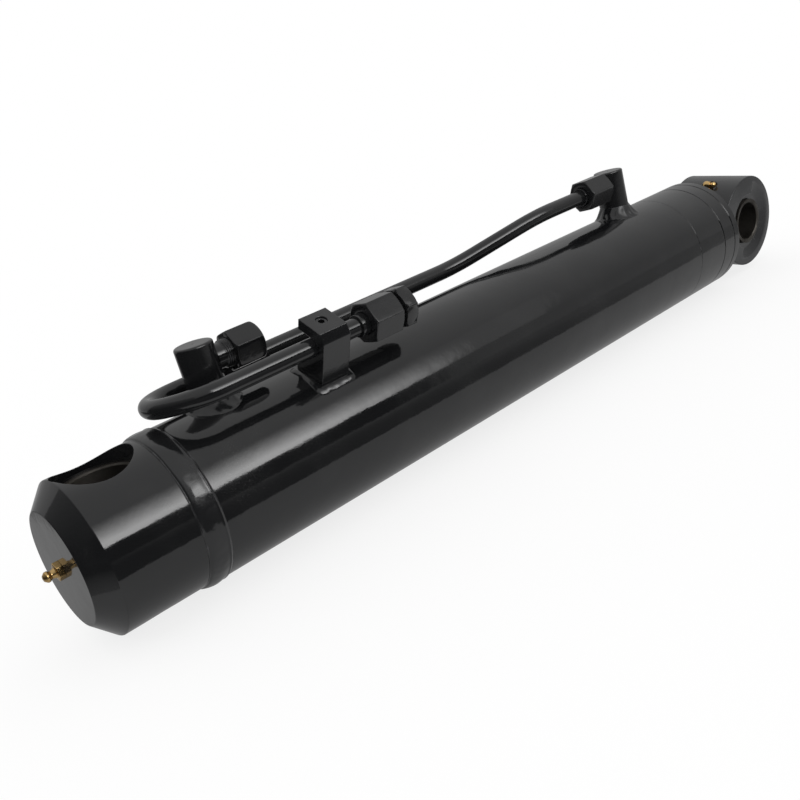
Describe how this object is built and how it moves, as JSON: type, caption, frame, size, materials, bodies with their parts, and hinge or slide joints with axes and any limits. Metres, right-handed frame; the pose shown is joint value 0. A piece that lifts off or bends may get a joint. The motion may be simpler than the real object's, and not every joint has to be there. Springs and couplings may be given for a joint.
{
  "type": "hydraulic cylinder",
  "caption": "Double-acting welded hydraulic cylinder with cross-bored eyes at both ends, radial port posts and a hard steel return line along the barrel.",
  "frame": {"origin": "centre of the base end's cross bore", "axes": "+X along the cylinder towards the rod eye, +Z the direction the port posts point in and the axis of the base cross bore, the rod eye's bore turned 6.5 degrees about X from Y"},
  "size_m": [0.751, 0.1024, 0.1398],
  "materials": {
    "black_paint": "gloss",
    "plated_steel": "bright zinc",
    "bushing_steel": "machined, oiled",
    "piston_iron": "machined",
    "chrome_rod": "ground and polished",
    "brass": "polished",
    "seal_rubber": "satin",
    "wear_ring_plastic": "matt"
  },
  "bodies": {
    "barrel": {"barrel_tube": "black_paint", "base_bushing": "bushing_steel", "base_end_block": "black_paint", "base_grease_fitting": "brass", "base_port_adapter": "black_paint", "base_port_nut": "black_paint", "base_port_post": "black_paint", "base_port_weld": "black_paint", "base_weld_bead": "black_paint", "buffer_seal": "seal_rubber", "clamp_screw": "black_paint", "clamp_weld": "black_paint", "coupling_body": "black_paint", "coupling_nut": "black_paint", "coupling_sleeve": "black_paint", "gland": "black_paint", "gland_backup_ring": "wear_ring_plastic", "gland_o_ring": "seal_rubber", "head_collar": "black_paint", "head_port_adapter": "black_paint", "head_port_post": "black_paint", "head_port_weld": "black_paint", "head_tube_nut": "black_paint", "head_tube_sleeve": "black_paint", "return_tube": "black_paint", "rod_seal": "seal_rubber", "rod_wear_ring_inner": "wear_ring_plastic", "rod_wear_ring_outer": "wear_ring_plastic", "tube_clamp_block": "black_paint", "wiper_ring_housing": "black_paint", "wiper_seal": "seal_rubber"},
    "piston_seals": {"piston_seal": "seal_rubber", "piston_wear_ring_front": "wear_ring_plastic", "piston_wear_ring_back": "wear_ring_plastic"},
    "rod": {"rod": "chrome_rod", "piston": "piston_iron", "piston_nut": "plated_steel", "piston_o_ring": "seal_rubber", "rod_eye": "black_paint", "rod_eye_bushing": "bushing_steel", "rod_eye_weld": "black_paint", "rod_grease_fitting": "brass"}
  },
  "joints": [
    {"name": "rod_slide", "type": "slide", "parent": "barrel", "child": "piston_seals", "axis": [1, 0, 0], "range_m": [0, 0.36]},
    {"name": "rod_turn", "type": "hinge", "parent": "piston_seals", "child": "rod", "pos_m": [0.661, 0, 0], "axis": [1, 0, 0], "continuous": true}
  ]
}
